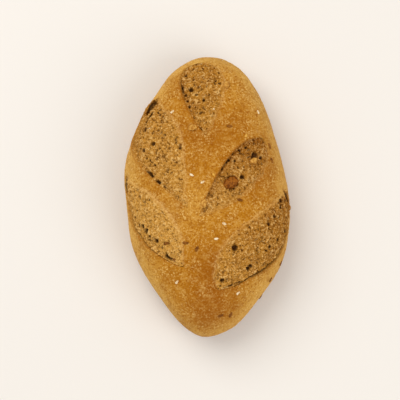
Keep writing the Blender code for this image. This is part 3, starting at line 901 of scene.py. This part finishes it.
RAISIN_PLACE = (17.6, 5.2, 66.8)
RAISIN_SIZE = (0.0136, 0.0088, 0.0070)
RAISIN_TURN = 30.0
RAISIN_SINK = 0.0012
RAISIN_SUBDIVISIONS = 5
RAISIN_GRAIN = (1, 1, 0.4)       # its folds run up and down
RAISIN_FOLDS = (0.55, 0.00045)   # length as a share of its half length, depth in metres
RAISIN_WRINKLES = (0.22, 0.00020)

# Each kind's two colours, and the length of the patches that they make
SEED_TINTS = {
    "sesame": ("sesame_seed", (242, 224, 188), (216, 184, 134), 0.0012),
    "flax": ("flax_seed", (146, 90, 26), (108, 60, 12), 0.0030),
    "nut": ("nut_bit", (212, 160, 76), (172, 112, 36), 0.0016),
    "flake": ("flake_bit", (226, 176, 82), (200, 142, 50), 0.0012),
}
RAISIN_TINT = ("raisin_dried", (158, 93, 22), (106, 54, 6), 0.0018)
SEED_SHARE = (0.35, 0.65)
SEED_BUMP = (0.0001, 0.5)


def solid_skin(n):
    """The skin that the solids have, where the grains were set on it."""
    skin = risen_dough(n)
    change = lumps(skin)
    for slash in SLASHES:
        o = opening(slash, skin)
        change += slash_lip(o) - o["wall"] * o["floor"]
    change *= base_fade(skin)
    return skin + outward(n) * change[:, None]


def height_over(x, y, steps):
    """Height of the unslashed upper side over a place seen from above."""
    n = np.array([x / HALF[0], y / HALF[1]])
    for _ in range(steps):
        nz = math.sqrt(max(1 - n @ n, 0.0))
        point = risen_dough(np.array([[n[0], n[1], nz]]))[0]
        n = n + (np.array([x, y]) - point[:2]) / HALF
    return risen_dough(np.array([[n[0], n[1], math.sqrt(max(1 - n @ n, 0.0))]]))[0][2]


def flank_places():
    draw = random.Random(FLANK_SEED)
    chosen = []
    while len(chosen) < FLANK_GRAINS:
        angle = draw.uniform(0, 2 * math.pi)
        rise = draw.uniform(*FLANK_BAND)
        level = math.sqrt(1 - rise * rise)
        n = np.array([[level * math.cos(angle), level * math.sin(angle), rise]])
        place = risen_dough(n)[0]
        kind = draw.choice(FLANK_KINDS)
        turn = draw.uniform(0, 180)
        if all(np.linalg.norm(place - other[1]) > FLANK_CLEAR for other in chosen):
            chosen.append((kind, place, turn))
    return chosen


def grain_places():
    shown = [(kind, np.array([x * MM, y * MM, height_over(x * MM, y * MM, HEIGHT_STEPS)]), turn)
             for kind, x, y, turn in SHOWN_GRAINS]
    for kind, place, turn in flank_places():
        if min(np.linalg.norm(place - other[1]) for other in shown[:len(SHOWN_GRAINS)]) > FLANK_CLEAR:
            shown.append((kind, place, turn))
    return shown


def standing(place, rise, turn):
    """The skin's point over a place, and the matrix that stands a thing on it, risen and turned."""
    n = direction_to(place[None, :])
    at = Vector(solid_skin(n)[0])
    up = Vector(outward(n)[0])
    tilt = Vector((0, 0, 1)).rotation_difference(up).to_matrix().to_4x4()
    return at, Matrix.Translation(at + up * rise) @ tilt @ Matrix.Rotation(math.radians(turn), 4, "Z")


def add_grain(bm, kind, place, turn):
    grain = GRAINS[kind]
    at, pose = standing(place, grain.size[2] * GRAIN_RISE, turn)
    made = bmesh.ops.create_uvsphere(bm, u_segments=GRAIN_SEGMENTS, v_segments=GRAIN_RINGS,
                                     radius=0.5)["verts"]
    bmesh.ops.rotate(bm, verts=made, matrix=Matrix.Rotation(math.pi / 2, 3, "Y"))
    for vert in made:
        narrow = 1 - grain.taper * (vert.co.x + 0.5)
        rough = noise.noise(vert.co * GRAIN_LUMPS + at * GRAIN_CHANGE)
        vert.co = vert.co * (1 + (NUT_ROUGH if kind == "nut" else SEED_ROUGH) * rough)
        vert.co = Vector((vert.co.x * grain.size[0], vert.co.y * narrow * grain.size[1],
                          vert.co.z * narrow * grain.size[2]))
        vert.co = pose @ vert.co


def build_grains(kind, places):
    mesh = bpy.data.meshes.new(kind)
    bm = bmesh.new()
    for grain, place, turn in places:
        if grain == kind:
            add_grain(bm, kind, place, turn)
    bm.to_mesh(mesh)
    bm.free()
    mesh.shade_smooth()
    return linked(kind + "_grains", mesh)


def seed_material(name, light, dark, patch):
    s = Shader(name, roughness=0.55, shine=0.1)
    tint = s.noise(patch)
    colour = s.mix(s.between(tint, *SEED_SHARE), light, dark)
    return s.finish(colour, s.bump(tint, *SEED_BUMP))


def build_raisin():
    mesh = bpy.data.meshes.new("raisin_fruit")
    bm = bmesh.new()
    bmesh.ops.create_icosphere(bm, subdivisions=RAISIN_SUBDIVISIONS, radius=1.0)
    bm.to_mesh(mesh)
    bm.free()
    points = np.empty(len(mesh.vertices) * 3)
    mesh.vertices.foreach_get("co", points)
    n = unit(points.reshape(-1, 3))
    fold_length, fold_depth = RAISIN_FOLDS
    wrinkle_length, wrinkle_depth = RAISIN_WRINKLES
    folds = np.abs(wavy(n * RAISIN_GRAIN, fold_length, FOLD_NOISE))
    wrinkles = np.abs(wavy(n, wrinkle_length, WRINKLE_NOISE))
    half = np.array(RAISIN_SIZE) / 2
    shape = n * (half - fold_depth * folds[:, None] - wrinkle_depth * wrinkles[:, None])
    mesh.vertices.foreach_set("co", shape.astype(np.float32).ravel())
    _, pose = standing(np.array(RAISIN_PLACE) * MM, -RAISIN_SINK, RAISIN_TURN)
    mesh.transform(pose)
    mesh.shade_smooth()
    return linked("raisin_fruit", mesh)


def dress(thing, material, node):
    thing.data.materials.clear()
    thing.data.materials.append(material)
    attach(thing, "root")
    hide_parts(node)


def build_loaf():
    bread = bread_material()
    dress(build_crust(), bread, "loaf")
    for slash in SLASHES:
        dress(build_crumb(slash), bread, "loaf")
    places = grain_places()
    for kind, tints in SEED_TINTS.items():
        dress(build_grains(kind, places), seed_material(*tints), "loaf")
    dress(build_raisin(), seed_material(*RAISIN_TINT), "raisin")


# The view of the photograph: from almost straight above, about a metre away
VIEW_ELEVATION = 84.0
VIEW_DISTANCE = 1.0
VIEW_LENS = 111.7
VIEW_SENSOR = 36.0
VIEW_TARGET = (-0.0061, -0.0010, 0.0)

Light = namedtuple("Light", "name place size power colour")
LIGHTS = (
    Light("key", (-0.8, 0.8, 1.6), 1.6, 19.0, (1.0, 0.97, 0.93)),
    Light("fill", (1.1, -0.8, 1.3), 1.6, 11.0, (1.0, 0.98, 0.96)),
)
SKY_COLOUR = (1.0, 0.98, 0.96, 1.0)
SKY_STRENGTH = 0.60
FLOOR_SIZE = 3.0
FLOOR_DROP = 0.0002
FLOOR_COLOUR = (236, 232, 226)


def build_camera():
    data = bpy.data.cameras.new("camera")
    data.lens = VIEW_LENS
    data.sensor_width = VIEW_SENSOR
    camera = linked("camera", data)
    rise = math.radians(VIEW_ELEVATION)
    back = Vector((0, -math.cos(rise), math.sin(rise)))
    camera.location = Vector(VIEW_TARGET) + back * VIEW_DISTANCE
    camera.rotation_euler = (math.pi / 2 - rise, 0, 0)
    bpy.context.scene.camera = camera


def add_light(light):
    data = bpy.data.lights.new(light.name, "AREA")
    data.shape = "DISK"
    data.size = light.size
    data.energy = light.power
    data.color = light.colour
    lamp = linked(light.name, data)
    lamp.location = light.place
    lamp.rotation_euler = (-Vector(light.place)).to_track_quat("-Z", "Y").to_euler()


def build_studio():
    floor_mesh = bpy.data.meshes.new("floor")
    bm = bmesh.new()
    bmesh.ops.create_grid(bm, x_segments=1, y_segments=1, size=FLOOR_SIZE)
    bm.to_mesh(floor_mesh)
    bm.free()
    floor = linked("floor", floor_mesh)
    floor.location.z = -FLOOR_DROP
    paper = Shader("floor_paper", roughness=0.8)
    floor_mesh.materials.append(paper.finish(linear(FLOOR_COLOUR)))
    for light in LIGHTS:
        add_light(light)
    world = bpy.data.worlds.new("studio")
    world.use_nodes = True
    sky = world.node_tree.nodes["Background"]
    sky.inputs["Color"].default_value = SKY_COLOUR
    sky.inputs["Strength"].default_value = SKY_STRENGTH
    bpy.context.scene.world = world
    bpy.context.scene.view_settings.view_transform = "Standard"


noise.seed_set(STIR_SEED)
build_loaf()
build_studio()
build_camera()
